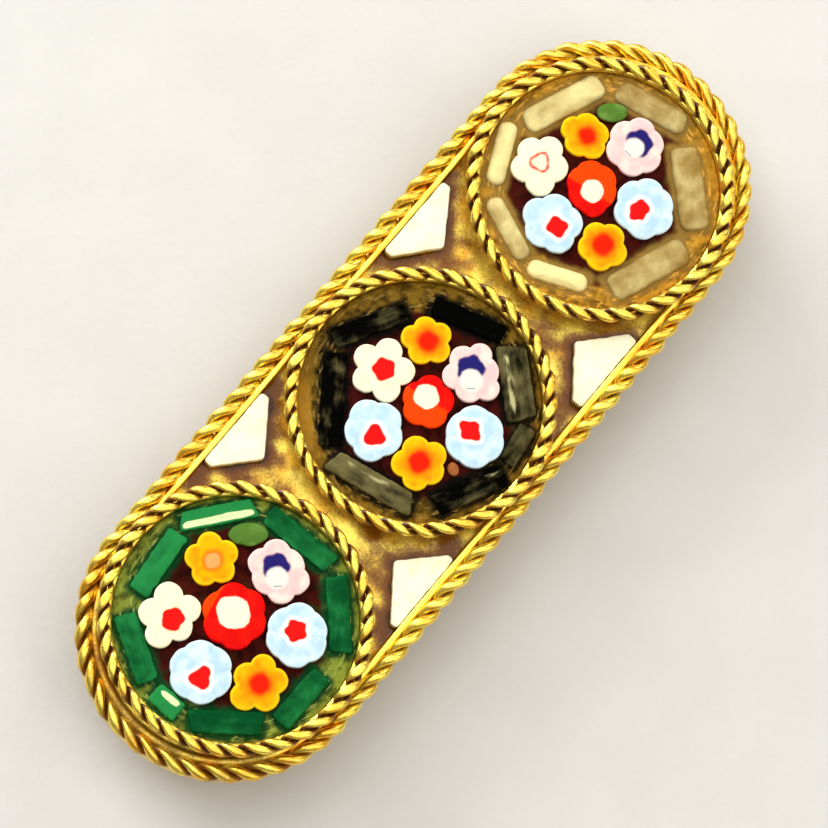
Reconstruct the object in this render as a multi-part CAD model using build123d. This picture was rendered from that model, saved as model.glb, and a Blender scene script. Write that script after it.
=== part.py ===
from build123d import *
import math
import os

# Micromosaic bar brooch: a gilt plate with round ends, a twisted rope border, and three round cells of glass
# flowers. X runs along the brooch, Y across it and Z up. z = 0 is the surface that its pin finding lies on.

os.makedirs("parts", exist_ok=True)

# Driving dimensions in millimetres

# Pin finding on the back
PIN_BAR_LENGTH = 31.0
PIN_BAR_WIDTH = 5.0
PIN_BAR_THICKNESS = 0.6
PIN_DROP = 2.4  # how far the hinge and the catch reach below the bar
HINGE_LENGTH = 3.2
HINGE_ROUND = 0.8
CATCH_LENGTH = 2.6
STEM_DIAMETER = 0.9
STEM_CLEARANCE = 0.2  # room round the stem inside the catch
STEM_OVERHANG = 1.2  # the point stands this far past the catch
STEM_TAPER = 3.0

# Back plate and cell walls
PLATE_THICKNESS = 0.8
WELL_RADIUS = 6.14
WALL_THICKNESS = 0.24
CELL_NECK = 0.56  # between the wires of neighbouring cells
END_ROOM = 0.11  # between the wire of an end cell and the bezel strip

# Twisted wire on top of each cell wall
WIRE_RADIUS = 0.40
WIRE_BEAD = 1.10  # length of one bead, half a turn of the two strands
WIRE_LIP = 0.04  # the wire stands this far into the well
RIM_RISE = 0.02  # the wire's underside lies this far above the rope's top

# Bezel strip and twisted rope along the plate's edge
SOLDER_GAP = 0.04  # between a cell wall and the strip
STRIP_WIDTH = 0.24
STRIP_DROP = 0.26  # the strip's edge lies this far below the rope's top
ROPE_RADIUS = 0.47
ROPE_BEAD = 1.20
ROPE_UNDERCUT = 50.0  # degrees below the rope's middle where it meets the plate's side

# Facets of the twisted wires
LINES_PER_BEAD = 3
WIRE_STRIPS = 6
ROPE_STRIPS = 5
GROOVE_SHARE = 0.66  # radius in the groove between two beads, as a share of the wire's

# Glass and cement
SEAT_GAP = 0.03  # hairline between a piece and what it is seated on
SIDE_GAP = 0.05  # between the cement and the cell wall
CEMENT_THICKNESS = 0.85
FLOWER_THICKNESS = 0.56
BAR_THICKNESS = 0.46
CHIP_THICKNESS = 0.40
TILE_THICKNESS = 0.62
TILE_GAP = 0.10  # between a tile and the bezel strip
TILE_ROUND = 0.16
BEVEL = 0.09

# Flowers. x, y and the reach of each petal are shares of the well's radius from the cell's centre. Notch is
# the radius between two petals as a share of their reach, and turn is the direction of the first petal in
# degrees.
# name, x, y, notch, turn, reach of each petal
FLOWERS = {
    "green": [
        ("white", -0.33, 0.41, 0.74, 45, (0.283, 0.26, 0.278, 0.215, 0.26)),
        ("orange_top", 0.242, 0.455, 0.78, 48, (0.225, 0.222, 0.225, 0.22, 0.222)),
        ("pink", 0.518, -0.015, 0.86, 44, (0.262, 0.264, 0.23, 0.265, 0.265, 0.218)),
        ("blue_right", 0.22, -0.455, 0.92, 32, (0.26, 0.256, 0.258, 0.27, 0.258, 0.245)),
        ("orange_low", -0.272, -0.47, 0.76, 28, (0.23, 0.216, 0.28, 0.24, 0.23)),
        ("blue_left", -0.515, -0.062, 0.92, 42, (0.26, 0.26, 0.262, 0.256, 0.258, 0.26)),
        ("red", 0.01, 0.025, 0.89, 45, (0.268, 0.268, 0.275, 0.275, 0.262, 0.27)),
    ],
    "black": [
        ("white", -0.008, 0.41, 0.71, 18, (0.27, 0.258, 0.258, 0.275, 0.276)),
        ("orange_top", 0.428, 0.282, 0.79, 48, (0.191, 0.218, 0.215, 0.221, 0.205)),
        ("pink", 0.47, -0.187, 0.82, 20, (0.25, 0.255, 0.268, 0.252, 0.262, 0.195)),
        ("blue_low", 0.06, -0.512, 0.93, 40, (0.252, 0.235, 0.246, 0.266, 0.257, 0.25)),
        ("orange_low", -0.40, -0.332, 0.80, 57, (0.238, 0.243, 0.225, 0.205, 0.232)),
        ("blue_left", -0.448, 0.143, 0.88, 64, (0.262, 0.225, 0.252, 0.255, 0.27)),
        ("red", 0.028, -0.04, 0.85, 28, (0.222, 0.205, 0.22, 0.226, 0.225)),
    ],
    "beige": [
        ("white", -0.158, 0.52, 0.78, 76, (0.228, 0.248, 0.282, 0.24, 0.245)),
        ("orange_top", 0.276, 0.373, 0.84, 32, (0.184, 0.222, 0.205, 0.208, 0.184)),
        ("pink", 0.468, -0.006, 0.88, 24, (0.255, 0.256, 0.256, 0.245, 0.236, 0.228)),
        ("blue_low", 0.13, -0.387, 0.90, 28, (0.241, 0.268, 0.276, 0.266, 0.25, 0.222)),
        ("orange_low", -0.372, -0.306, 0.84, 66, (0.206, 0.192, 0.205, 0.224, 0.22)),
        ("blue_left", -0.486, 0.124, 0.85, 24, (0.245, 0.262, 0.24, 0.26, 0.255)),
        ("red", -0.041, 0.065, 0.92, 45, (0.226, 0.213, 0.208, 0.242, 0.212, 0.224)),
    ],
}

# Straight sticks round the flowers. All but the turn are shares of the well's radius. The outer edge faces
# the cell wall, and turn is the direction of the stick in degrees.
# x, y, outer edge, inner edge, width, turn
BARS = {
    "green": [
        (-0.055, 0.766, 0.57, 0.57, 0.168, 6),
        (0.553, 0.652, 0.55, 0.65, 0.15, -38),
        (0.829, 0.022, 0.66, 0.62, 0.165, -89),
        (0.566, -0.604, 0.63, 0.59, 0.172, -137),
        (-0.158, -0.806, 0.51, 0.51, 0.165, -181),
        (-0.692, -0.47, 0.54, 0.62, 0.18, -232),
        (-0.872, -0.005, 0.26, 0.25, 0.165, -272),
        (-0.698, 0.458, 0.57, 0.55, 0.175, -301),
    ],
    "black": [
        (-0.455, 0.553, 0.76, 0.76, 0.178, 36),
        (0.218, 0.712, 0.64, 0.64, 0.155, -29),
        (0.775, 0.13, 0.63, 0.60, 0.155, -73),
        (0.628, -0.497, 0.56, 0.64, 0.24, -132),
        (0.238, -0.828, 0.35, 0.33, 0.14, -172),
        (-0.295, -0.765, 0.60, 0.63, 0.185, -205),
        (-0.775, -0.12, 0.80, 0.66, 0.18, -260),
    ],
    "beige": [
        (-0.297, 0.808, 0.50, 0.59, 0.15, 25),
        (0.366, 0.688, 0.71, 0.74, 0.205, -21),
        (0.822, 0.112, 0.60, 0.66, 0.195, -79),
        (0.497, -0.558, 0.69, 0.70, 0.238, -133),
        (-0.258, -0.724, 0.72, 0.72, 0.228, -200),
        (-0.793, -0.188, 0.53, 0.48, 0.148, -247),
        (-0.753, 0.368, 0.57, 0.55, 0.148, -292),
    ],
}
BAR_ROUND = {"green": 0.02, "black": 0.022, "beige": 0.065}  # corner radius, as a share of the well's

# Small odd pieces between the flowers, ovals in shares of the well's radius
# node, cell, x, y, half length, half width, turn
CHIPS = [
    ("chip_green", "green", 0.595, 0.366, 0.158, 0.095, -48),
    ("chip_black", "black", -0.255, -0.556, 0.058, 0.046, 60),
    ("leaf_beige", "beige", 0.572, 0.335, 0.128, 0.08, -50),
]

# White tiles in the pockets beside the necks, in shares of the well's radius from the middle of the neck
# node, neck, side, left, right, tip, depth, shoulder
TILES = [
    ("tile_left_top", -1, 1, 0.33, 0.41, 0.0, 0.365, 0.075),
    ("tile_right_top", 1, 1, 0.37, 0.395, -0.03, 0.36, 0.08),
    ("tile_left_low", -1, -1, 0.37, 0.365, 0.045, 0.365, 0.06),
    ("tile_right_low", 1, -1, 0.32, 0.41, 0.07, 0.385, 0.09),
]

# Worked out from the dimensions above
plate_bottom = PIN_DROP + PIN_BAR_THICKNESS + SEAT_GAP
plate_top = plate_bottom + PLATE_THICKNESS
wall_outer = WELL_RADIUS + WALL_THICKNESS
wire_path = WELL_RADIUS - WIRE_LIP + WIRE_RADIUS
wire_height = 2 * ROPE_RADIUS + RIM_RISE + WIRE_RADIUS
cell_pitch = 2 * (wire_path + WIRE_RADIUS) + CELL_NECK
cell_centres = {"green": -cell_pitch, "black": 0.0, "beige": cell_pitch}

strip_inner = wall_outer + SOLDER_GAP
strip_rise = math.asin((ROPE_RADIUS - STRIP_DROP) / ROPE_RADIUS)  # where on the rope the strip ends
rope_path = strip_inner + STRIP_WIDTH + ROPE_RADIUS * math.cos(strip_rise)
half_straight = cell_pitch + wire_path + WIRE_RADIUS + END_ROOM - strip_inner

cement_top = plate_top + SEAT_GAP + CEMENT_THICKNESS
glass_bottom = cement_top + SEAT_GAP


def ring_path(centre_x):
    """Length of the circle that a cell's wire follows, and the function that gives a point at a distance
    along it, at an offset outwards and at a height above the plate."""

    def at(distance, offset, height):
        angle = distance / wire_path
        radius = wire_path + offset
        return (centre_x + radius * math.cos(angle), radius * math.sin(angle), plate_top + height)

    return 2 * math.pi * wire_path, at


def border_path():
    """The same for the line that the rope follows: two straight sides joined by half circles."""
    bend = math.pi * rope_path
    side = 2 * half_straight
    length = 2 * (bend + side)

    def at(distance, offset, height):
        half, rest = divmod(distance % length, bend + side)
        turned = -1 if half else 1
        radius = rope_path + offset
        if rest < bend:
            angle = rest / rope_path - math.pi / 2
            x = half_straight + radius * math.cos(angle)
            y = radius * math.sin(angle)
        else:
            x = half_straight - (rest - bend)
            y = radius
        return (turned * x, turned * y, plate_top + height)

    return length, at


def twisted_rows(path, bead, radius, height, start, end, strips):
    """Rows of points round a wire of two twisted strands, from section angle start down to end in degrees.
    Each row trails the one before by the lay of the strands, so ridges and grooves follow mesh lines."""
    length, at = path
    beads = round(length / bead)
    columns = beads * LINES_PER_BEAD
    rows = []
    for row in range(strips + 1):
        angle = math.radians(start + (end - start) * row / strips)
        trail = angle / math.pi * length / beads
        free = 0 < row < strips
        points = []
        for column in range(columns):
            groove = free and column % LINES_PER_BEAD == 0
            reach = radius * GROOVE_SHARE if groove else radius
            distance = column * length / columns - trail
            points.append(at(distance, reach * math.cos(angle), height + reach * math.sin(angle)))
        rows.append(points)
    return rows


def straight_row(path, bead, angle, offset, height):
    """The row of points in line with the wire's row at this section angle, at another offset and height."""
    length, at = path
    beads = round(length / bead)
    columns = beads * LINES_PER_BEAD
    trail = math.radians(angle) / math.pi * length / beads
    return [at(column * length / columns - trail, offset, height) for column in range(columns)]


def flat_band(row, next_row):
    """One flat facet between each pair of neighbours in two rows."""
    facets = []
    for i, point in enumerate(row):
        j = (i + 1) % len(row)
        corners = [point, row[j], next_row[j], next_row[i]]
        facets.append(Face(Wire.make_polygon(corners, close=True)))
    return facets


def twisted_band(row, next_row):
    """Two triangles between each pair of neighbours in two rows."""
    facets = []
    for i, point in enumerate(row):
        j = (i + 1) % len(row)
        facets.append(Face(Wire.make_polygon([point, row[j], next_row[j]], close=True)))
        facets.append(Face(Wire.make_polygon([point, next_row[j], next_row[i]], close=True)))
    return facets


def cell_wall(centre_x):
    """Facets of one cell wall with its twisted wire, and the loops of its inner and outer foot."""
    path = ring_path(centre_x)
    start = 360 - math.degrees(math.acos((WIRE_LIP - WIRE_RADIUS) / WIRE_RADIUS))
    end = -math.degrees(math.acos((WALL_THICKNESS + WIRE_LIP - WIRE_RADIUS) / WIRE_RADIUS))
    wire = twisted_rows(path, WIRE_BEAD, WIRE_RADIUS, wire_height, start, end, WIRE_STRIPS)
    inner_foot = straight_row(path, WIRE_BEAD, start, WELL_RADIUS - wire_path, 0)
    outer_foot = straight_row(path, WIRE_BEAD, end, wall_outer - wire_path, 0)
    facets = flat_band(inner_foot, wire[0])
    for row, next_row in zip(wire, wire[1:]):
        facets += twisted_band(row, next_row)
    facets += flat_band(wire[-1], outer_foot)
    return facets, inner_foot, outer_foot


def border():
    """Facets of the bezel strip, the rope and the plate's side, and the loops of the strip's foot and of the
    plate's lower edge."""
    path = border_path()
    start = 180 - math.degrees(strip_rise)
    end = -ROPE_UNDERCUT
    rope = twisted_rows(path, ROPE_BEAD, ROPE_RADIUS, ROPE_RADIUS, start, end, ROPE_STRIPS)
    strip_height = 2 * ROPE_RADIUS - STRIP_DROP
    edge_offset = ROPE_RADIUS * math.cos(math.radians(end))
    strip_foot = straight_row(path, ROPE_BEAD, start, strip_inner - rope_path, 0)
    strip_edge = straight_row(path, ROPE_BEAD, start, strip_inner - rope_path, strip_height)
    lower_edge = straight_row(path, ROPE_BEAD, end, edge_offset, -PLATE_THICKNESS)
    facets = flat_band(strip_foot, strip_edge) + flat_band(strip_edge, rope[0])
    for row, next_row in zip(rope, rope[1:]):
        facets += twisted_band(row, next_row)
    facets += flat_band(rope[-1], lower_edge)
    return facets, strip_foot, lower_edge


def loop(points):
    return Wire.make_polygon(points, close=True)


def setting():
    """The soldered gilt metal: plate, strip, rope and three cell walls, sewn from facets into one solid."""
    facets, strip_foot, lower_edge = border()
    outer_feet = []
    for centre_x in cell_centres.values():
        wall_facets, inner_foot, outer_foot = cell_wall(centre_x)
        facets += wall_facets
        facets.append(Face(loop(inner_foot)))
        outer_feet.append(loop(outer_foot))
    facets.append(Face(loop(strip_foot), outer_feet))
    facets.append(Face(loop(lower_edge)))
    return Solid(Shell(facets))


def pin_finding():
    """Soldered bar with a hinge block at one end, an open hook at the other and the stem between them."""
    bar_z = PIN_DROP + PIN_BAR_THICKNESS / 2
    bar = Pos(0, 0, bar_z) * Box(PIN_BAR_LENGTH, PIN_BAR_WIDTH, PIN_BAR_THICKNESS)
    bar_end = PIN_BAR_LENGTH / 2
    hinge = Pos(HINGE_LENGTH / 2 - bar_end, 0, PIN_DROP / 2) * Box(HINGE_LENGTH, PIN_BAR_WIDTH, PIN_DROP)
    hinge = fillet(hinge.edges().filter_by(Axis.Y).group_by(Axis.Z)[0], HINGE_ROUND)
    catch = Pos(bar_end - CATCH_LENGTH / 2, 0, PIN_DROP / 2) * Box(CATCH_LENGTH, PIN_BAR_WIDTH, PIN_DROP)
    slot_reach = STEM_DIAMETER / 2 + STEM_CLEARANCE
    slot_depth = PIN_BAR_WIDTH / 2 + slot_reach
    slot_y = slot_reach - slot_depth / 2
    slot_place = Pos(bar_end - CATCH_LENGTH / 2, slot_y, PIN_DROP / 2)
    slot = slot_place * Box(CATCH_LENGTH, slot_depth, 2 * slot_reach)
    stem_start = HINGE_LENGTH / 2 - bar_end
    stem_length = bar_end + STEM_OVERHANG - STEM_TAPER - stem_start
    stem_axis = Pos(stem_start, 0, PIN_DROP / 2) * Rot(0, 90, 0)
    from_end = (Align.CENTER, Align.CENTER, Align.MIN)
    stem = stem_axis * Cylinder(STEM_DIAMETER / 2, stem_length, align=from_end)
    point = Cone(STEM_DIAMETER / 2, STEM_DIAMETER / 8, STEM_TAPER, align=from_end)
    point = stem_axis * Pos(0, 0, stem_length) * point
    return bar + hinge + (catch - slot) + stem + point


def flower_outline(petals, notch, turn, height):
    """A ring of arcs, one for each petal, from notch to notch through the petal's tip."""
    step = 2 * math.pi / len(petals)
    first = math.radians(turn)
    arcs = []
    for number, reach in enumerate(petals):
        tip = first + number * step
        before = notch * (petals[number - 1] + reach) / 2
        after = notch * (petals[(number + 1) % len(petals)] + reach) / 2
        corners = []
        for angle, radius in ((tip - step / 2, before), (tip, reach), (tip + step / 2, after)):
            corners.append((radius * math.cos(angle), radius * math.sin(angle), height))
        arcs.append(Edge.make_three_point_arc(*corners))
    return Wire(arcs)


def flower(petals, notch, turn):
    """A slice of flower cane with a bevelled upper edge, centred on the origin of its foot."""
    foot = flower_outline(petals, notch, turn, 0)
    shoulder = flower_outline(petals, notch, turn, FLOWER_THICKNESS - BEVEL)
    top = flower_outline([reach - BEVEL for reach in petals], notch, turn, FLOWER_THICKNESS)
    return Solid.make_loft([foot, shoulder, top], ruled=True)


def bevelled(outline, thickness):
    """A flat piece of this outline, with its upper edge bevelled."""
    piece = extrude(outline, thickness)
    return chamfer(piece.edges().group_by(Axis.Z)[-1], BEVEL)


def glass_bar(outer, inner, width, corner):
    """A flat stick along X whose outer edge, towards +Y, and inner edge differ in length."""
    far = width / 2
    corners = [(outer / 2, far), (-outer / 2, far), (-inner / 2, -far), (inner / 2, -far)]
    outline = make_face(FilletPolyline(*corners, radius=corner, close=True))
    return bevelled(outline, BAR_THICKNESS)


def bar_field(cell):
    """All the sticks of one cell, loose from each other."""
    sticks = []
    for x, y, outer, inner, width, turn in BARS[cell]:
        stick = glass_bar(outer * WELL_RADIUS, inner * WELL_RADIUS, width * WELL_RADIUS,
                          BAR_ROUND[cell] * WELL_RADIUS)
        place = Pos(cell_centres[cell] + x * WELL_RADIUS, y * WELL_RADIUS, glass_bottom)
        sticks.append(place * Rot(0, 0, turn) * stick)
    return Compound(sticks)


def chip(cell, x, y, half_length, half_width, turn):
    """A small oval piece of glass."""
    piece = bevelled(Ellipse(half_length * WELL_RADIUS, half_width * WELL_RADIUS), CHIP_THICKNESS)
    place = Pos(cell_centres[cell] + x * WELL_RADIUS, y * WELL_RADIUS, glass_bottom)
    return place * Rot(0, 0, turn) * piece


def tile(neck, side, left, right, tip, depth, shoulder):
    """A white tile with its base along the bezel strip and its tip towards the neck."""
    base = side * (strip_inner - TILE_GAP)
    middle = neck * cell_pitch / 2
    inwards = -side * WELL_RADIUS
    corners = [
        (middle - left * WELL_RADIUS, base),
        (middle - left * WELL_RADIUS, base + inwards * shoulder),
        (middle + tip * WELL_RADIUS, base + inwards * depth),
        (middle + right * WELL_RADIUS, base + inwards * shoulder),
        (middle + right * WELL_RADIUS, base),
    ]
    outline = make_face(FilletPolyline(*corners, radius=TILE_ROUND, close=True))
    return Pos(0, 0, plate_top + SEAT_GAP) * bevelled(outline, TILE_THICKNESS)


def cement_bed(cell):
    """The disc of cement that fills a well below its glass."""
    disc = Cylinder(WELL_RADIUS - SIDE_GAP, CEMENT_THICKNESS, align=(Align.CENTER, Align.CENTER, Align.MIN))
    return Pos(cell_centres[cell], 0, plate_top + SEAT_GAP) * disc


def pieces():
    """Each piece with the name of its node."""
    made = {"setting": setting(), "pin_finding": pin_finding()}
    for cell in cell_centres:
        made[f"cement_bed_{cell}"] = cement_bed(cell)
        made[f"bars_{cell}"] = bar_field(cell)
        for name, x, y, notch, turn, petals in FLOWERS[cell]:
            place = Pos(cell_centres[cell] + x * WELL_RADIUS, y * WELL_RADIUS, glass_bottom)
            reaches = [reach * WELL_RADIUS for reach in petals]
            made[f"flower_{cell}_{name}"] = place * flower(reaches, notch, turn)
    for node, cell, x, y, half_length, half_width, turn in CHIPS:
        made[node] = chip(cell, x, y, half_length, half_width, turn)
    for node, neck, side, left, right, tip, depth, shoulder in TILES:
        made[node] = tile(neck, side, left, right, tip, depth, shoulder)
    return made


for node, shape in pieces().items():
    export_step(shape, f"parts/{node}.step")
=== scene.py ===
"""Looks of a micromosaic bar brooch: twisted gilt wires, cane flowers, glass sticks, cement and ivory tiles,
made round the packed model, which is loaded as a fixed frame."""

import math

import bpy
import numpy as np
from bpy.props import FloatProperty, FloatVectorProperty, IntProperty, PointerProperty
from mathutils import Matrix, Vector


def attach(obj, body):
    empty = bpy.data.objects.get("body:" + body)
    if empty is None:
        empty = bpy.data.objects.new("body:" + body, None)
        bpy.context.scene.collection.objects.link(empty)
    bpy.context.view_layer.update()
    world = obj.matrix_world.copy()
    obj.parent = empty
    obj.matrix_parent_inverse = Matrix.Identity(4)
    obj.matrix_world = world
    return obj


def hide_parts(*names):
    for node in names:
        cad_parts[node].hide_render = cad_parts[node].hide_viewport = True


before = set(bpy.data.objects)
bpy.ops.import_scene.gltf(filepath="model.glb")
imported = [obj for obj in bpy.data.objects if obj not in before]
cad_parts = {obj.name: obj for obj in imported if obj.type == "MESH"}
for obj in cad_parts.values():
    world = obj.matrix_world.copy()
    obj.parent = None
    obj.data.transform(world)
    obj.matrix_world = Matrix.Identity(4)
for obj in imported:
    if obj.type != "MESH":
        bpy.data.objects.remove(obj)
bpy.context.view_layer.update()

bl_info = {
    "name": "Micromosaic bar brooch",
    "version": (1, 0, 0),
    "blender": (4, 5, 0),
    "location": "3D View > Sidebar > Brooch",
    "description": "Builds the wires, glass and cement of a micromosaic bar brooch",
    "category": "Object",
}

# Sizes of the solids, in millimetres
PLATE_THICKNESS = 0.8
PLATE_TOP = 3.83
WELL_RADIUS = 6.14
WALL_THICKNESS = 0.24
WIRE_RADIUS = 0.40
WIRE_BEAD = 1.10
WIRE_PATH = 6.50
WIRE_HEIGHT = 1.36
CELL_PITCH = 14.36
STRIP_INNER = 6.42
STRIP_WIDTH = 0.24
STRIP_HEIGHT = 0.68
STRIP_OVERHANG = 0.07  # the strip is shown this much wider towards the tiles
ROPE_RADIUS = 0.47
ROPE_BEAD = 1.20
ROPE_PATH = 7.08
HALF_STRAIGHT = 14.95
PLATE_EDGE = 0.302  # from the rope's line to the plate's side
END_RISE = 0.55  # floor between an end cell and the strip
CEMENT_BOTTOM = 3.86
GLASS_BOTTOM = 4.74
FLOWER_THICKNESS = 0.56
FLOWER_SINK = 0.012  # the middle of a flower's dome lies this far below its full height
BAR_THICKNESS = 0.46
CHIP_THICKNESS = 0.40
TILE_THICKNESS = 0.62
TILE_GAP = 0.10
TILE_ROUND = 0.16
TILE_BOTTOM = 3.86
MM = 0.001
FAR = 9.0  # farther than any distance looked for

# Points round each outline
PLATE_POINTS, WALL_POINTS, CEMENT_POINTS = 480, 180, 250
FLOWER_POINTS, STICK_POINTS, CHIP_POINTS, TILE_POINTS = 120, 104, 72, 120

# A strand's distance from the wire's line, half depth and half width, in shares of the wire's radius
STRAND = (0.50, 0.50, 0.54)
GROOVE_ANGLES = (60, 120)  # degrees round a strand from its crest, between which the patina with painted crevice shade sets in

# Where the gilt's darkening towards the green cell's end sets in and is full, in millimetres from the
# brooch's middle
ROPE_END_DARKENING = (15.5, 20.5)
STRIP_END_DARKENING = (16.5, 19.0)

CELLS = {"green": -CELL_PITCH, "black": 0.0, "beige": CELL_PITCH}

# Flowers, placed as in the solids. x, y and the reach of each petal are shares of the well's radius from
# the cell's centre.
# name, x, y, notch, turn, reach of each petal
FLOWERS = {
    "green": [
        ("white", -0.33, 0.41, 0.74, 45, (0.283, 0.26, 0.278, 0.215, 0.26)),
        ("orange_top", 0.242, 0.455, 0.78, 48, (0.225, 0.222, 0.225, 0.22, 0.222)),
        ("pink", 0.518, -0.015, 0.86, 44, (0.262, 0.264, 0.23, 0.265, 0.265, 0.218)),
        ("blue_right", 0.22, -0.455, 0.92, 32, (0.26, 0.256, 0.258, 0.27, 0.258, 0.245)),
        ("orange_low", -0.272, -0.47, 0.76, 28, (0.23, 0.216, 0.28, 0.24, 0.23)),
        ("blue_left", -0.515, -0.062, 0.92, 42, (0.26, 0.26, 0.262, 0.256, 0.258, 0.26)),
        ("red", 0.01, 0.025, 0.89, 45, (0.268, 0.268, 0.275, 0.275, 0.262, 0.27)),
    ],
    "black": [
        ("white", -0.008, 0.41, 0.71, 18, (0.27, 0.258, 0.258, 0.275, 0.276)),
        ("orange_top", 0.428, 0.282, 0.79, 48, (0.191, 0.218, 0.215, 0.221, 0.205)),
        ("pink", 0.47, -0.187, 0.82, 20, (0.25, 0.255, 0.268, 0.252, 0.262, 0.195)),
        ("blue_low", 0.06, -0.512, 0.93, 40, (0.252, 0.235, 0.246, 0.266, 0.257, 0.25)),
        ("orange_low", -0.40, -0.332, 0.80, 57, (0.238, 0.243, 0.225, 0.205, 0.232)),
        ("blue_left", -0.448, 0.143, 0.88, 64, (0.262, 0.225, 0.252, 0.255, 0.27)),
        ("red", 0.028, -0.04, 0.85, 28, (0.222, 0.205, 0.22, 0.226, 0.225)),
    ],
    "beige": [
        ("white", -0.158, 0.52, 0.78, 76, (0.228, 0.248, 0.282, 0.24, 0.245)),
        ("orange_top", 0.276, 0.373, 0.84, 32, (0.184, 0.222, 0.205, 0.208, 0.184)),
        ("pink", 0.468, -0.006, 0.88, 24, (0.255, 0.256, 0.256, 0.245, 0.236, 0.228)),
        ("blue_low", 0.13, -0.387, 0.90, 28, (0.241, 0.268, 0.276, 0.266, 0.25, 0.222)),
        ("orange_low", -0.372, -0.306, 0.84, 66, (0.206, 0.192, 0.205, 0.224, 0.22)),
        ("blue_left", -0.486, 0.124, 0.85, 24, (0.245, 0.262, 0.24, 0.26, 0.255)),
        ("red", -0.041, 0.065, 0.92, 45, (0.226, 0.213, 0.208, 0.242, 0.212, 0.224)),
    ],
}

# The middle of each flower, in millimetres from the flower's own centre.
# x, y, half width, half height, corners, corner strength, turn in degrees
CORES = {
    "green": {
        "white": (-0.03, -0.16, 0.60, 0.54, 5, 0.05, 20),
        "orange_top": (-0.04, -0.07, 0.40, 0.36, 4, 0.04, 0),
        "blue_right": (0.08, 0.17, 0.56, 0.54, 5, 0.09, 60),
        "orange_low": (-0.07, -0.06, 0.52, 0.52, 4, 0.03, 30),
        "blue_left": (-0.24, -0.17, 0.58, 0.50, 3, 0.16, 10),
        "red": (0.07, 0.15, 0.80, 0.86, 4, 0.04, 90),
    },
    "black": {
        "white": (0.07, -0.10, 0.60, 0.55, 5, 0.07, 200),
        "orange_top": (-0.06, -0.09, 0.52, 0.52, 4, 0.03, 45),
        "blue_low": (0.06, 0.32, 0.50, 0.58, 4, 0.13, 85),
        "orange_low": (0.01, 0.13, 0.56, 0.54, 4, 0.03, 20),
        "blue_left": (-0.13, -0.25, 0.54, 0.52, 3, 0.14, 40),
        "red": (0.17, 0.18, 0.62, 0.64, 5, 0.02, 0),
    },
    "beige": {
        "white": (-0.02, 0.0, 0.46, 0.44, 3, 0.12, 250),
        "orange_top": (-0.03, -0.05, 0.44, 0.44, 4, 0.03, 10),
        "blue_low": (-0.40, 0.20, 0.58, 0.46, 5, 0.10, 100),
        "orange_low": (0.10, -0.03, 0.56, 0.54, 4, 0.04, 40),
        "blue_left": (-0.02, -0.32, 0.50, 0.54, 4, 0.12, 50),
        "red": (-0.14, -0.14, 0.58, 0.58, 5, 0.03, 10),
    },
}

# The middle of the pink flowers, in millimetres from the flower's own centre: a dark blob and a white disc
# that covers part of it.
# blob x, y and radius, disc x, y and radius
CRESCENTS = {
    "green": (0.07, 0.25, 0.68, -0.33, -0.14, 0.56),
    "black": (0.0, 0.28, 0.70, -0.45, -0.09, 0.58),
    "beige": (0.22, 0.05, 0.70, -0.14, 0.09, 0.52),
}

LINE_PLACE = 0.42  # from the white disc's centre to the short dark line on it

# Flowers cut from a cane of their own
ODD_CANES = {("green", "orange_top"): "pale_orange", ("beige", "white"): "ringed"}

CORE_RIMS = {"blue": 0.18, "orange": 0.20}  # width of the second colour round the core
RING_HALF_WIDTH = 0.075  # of the ringed flower's core

# Second colour of the red flowers: its direction in degrees and the distance of its edge from the centre
RED_SPLIT = {"green": (100, 1.2), "black": (188, -0.12), "beige": (8, -0.2)}

# Glass sticks, placed as in the solids, in shares of the well's radius.
# x, y, outer edge, inner edge, width, turn, lightness, strength of the painted highlight along the stick
BARS = {
    "green": [
        (-0.055, 0.766, 0.57, 0.57, 0.168, 6, 0.84, 0.1),
        (0.553, 0.652, 0.55, 0.65, 0.15, -38, 1.2, 1.9),
        (0.829, 0.022, 0.66, 0.62, 0.165, -89, 0.36, 0.0),
        (0.566, -0.604, 0.63, 0.59, 0.172, -137, 0.30, 0.0),
        (-0.158, -0.806, 0.51, 0.51, 0.165, -181, 0.32, 0.1),
        (-0.692, -0.47, 0.54, 0.62, 0.18, -232, 0.14, 0.0),
        (-0.872, -0.005, 0.26, 0.25, 0.165, -272, 1.3, 1.3),
        (-0.698, 0.458, 0.57, 0.55, 0.175, -301, 0.45, 0.1),
    ],
    "black": [
        (-0.455, 0.553, 0.76, 0.76, 0.178, 36, 0.04, 0.2),
        (0.218, 0.712, 0.64, 0.64, 0.155, -29, 0.10, 0.3),
        (0.775, 0.13, 0.63, 0.60, 0.155, -73, -0.3, 0.0),
        (0.628, -0.497, 0.56, 0.64, 0.24, -132, 0.52, 0.72),
        (0.238, -0.828, 0.35, 0.33, 0.14, -172, 0.32, 0.1),
        (-0.295, -0.765, 0.60, 0.63, 0.185, -205, 0.12, 0.4),
        (-0.775, -0.12, 0.80, 0.66, 0.18, -260, 0.76, 0.5),
    ],
    "beige": [
        (-0.297, 0.808, 0.50, 0.59, 0.15, 25, 0.84, 0.3),
        (0.366, 0.688, 0.71, 0.74, 0.205, -21, 0.62, 0.3),
        (0.822, 0.112, 0.60, 0.66, 0.195, -79, 0.30, 0.1),
        (0.497, -0.558, 0.69, 0.70, 0.238, -133, 0.33, 0.1),
        (-0.258, -0.724, 0.72, 0.72, 0.228, -200, 0.33, 0.1),
        (-0.793, -0.188, 0.53, 0.48, 0.148, -247, 1.0, 0.4),
        (-0.753, 0.368, 0.57, 0.55, 0.148, -292, 0.58, 0.1),
    ],
}
# Corner radius in shares of the well's radius, then uneven edge, bevel and crown of the sticks
STICK_FORM = {"green": (0.02, 0.022, 0.08, 0.015), "black": (0.022, 0.022, 0.08, 0.015),
              "beige": (0.065, 0.012, 0.17, 0.10)}

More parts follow.
